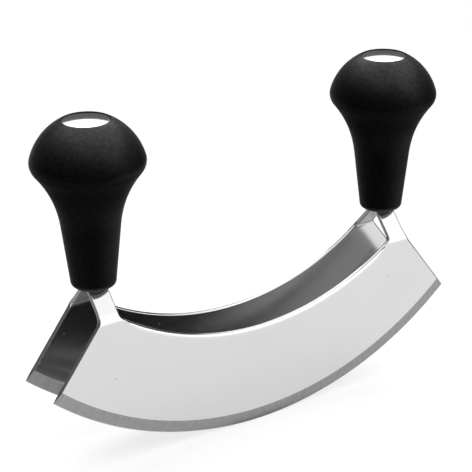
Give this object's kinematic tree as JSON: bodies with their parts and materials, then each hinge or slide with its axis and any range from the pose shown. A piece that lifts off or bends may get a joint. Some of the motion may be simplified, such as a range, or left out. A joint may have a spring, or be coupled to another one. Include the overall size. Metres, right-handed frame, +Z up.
{
  "type": "mezzaluna",
  "caption": "Double-blade rocking herb chopper: parallel crescent steel blades with folded end tabs under upright black mushroom knobs with polished caps.",
  "frame": {"origin": "on the table, midway between the two blades and under the lowest point of their cutting edges", "axes": "+X along the blades, +Y from the front blade to the rear blade, +Z up through the knobs"},
  "size_m": [0.2, 0.046, 0.1481],
  "materials": {
    "blade_steel": "polished sheet with a ground matt bevel along the cutting edge",
    "grip_rubber": "matt soft-touch black",
    "core_plastic": "black, moulded",
    "cap_steel": "polished",
    "rod_steel": "plain turned and pressed"
  },
  "bodies": {
    "root": {"front_blade": "blade_steel", "rear_blade": "blade_steel", "left_handle_core": "core_plastic", "left_soft_grip": "grip_rubber", "left_end_cap": "cap_steel", "left_tie_rod": "rod_steel", "left_rod_washer": "rod_steel", "left_rod_nut": "rod_steel", "left_lower_rivet": "rod_steel", "left_upper_rivet": "rod_steel", "right_handle_core": "core_plastic", "right_soft_grip": "grip_rubber", "right_end_cap": "cap_steel", "right_tie_rod": "rod_steel", "right_rod_washer": "rod_steel", "right_rod_nut": "rod_steel", "right_lower_rivet": "rod_steel", "right_upper_rivet": "rod_steel"}
  },
  "joints": []
}
